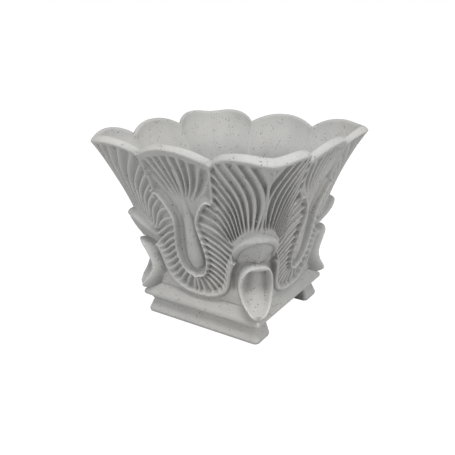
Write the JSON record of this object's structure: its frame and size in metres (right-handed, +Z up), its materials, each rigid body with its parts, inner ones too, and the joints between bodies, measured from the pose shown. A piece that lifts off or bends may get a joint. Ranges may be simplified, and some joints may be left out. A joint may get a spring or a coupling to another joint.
{
  "type": "garden planter pot",
  "caption": "Square flared cast-stone planter with scalloped lip and carved leaf relief on a plinth slab and two foot bars.",
  "frame": {"origin": "centre of the footprint, on the ground", "axes": "+Z up along the bowl's axis, -Y through the middle of the front face, foot bars along X"},
  "size_m": [0.394, 0.394, 0.3478],
  "materials": {
    "cast_stone": "matte, fine pitted cast stone",
    "armature_wire": "galvanised"
  },
  "bodies": {
    "root": {"bowl": "cast_stone", "plinth_slab": "cast_stone", "foot_bar_front": "cast_stone", "foot_bar_back": "cast_stone", "base_hoop": "armature_wire", "wall_hoop": "armature_wire", "corner_rods": "armature_wire"}
  },
  "joints": []
}
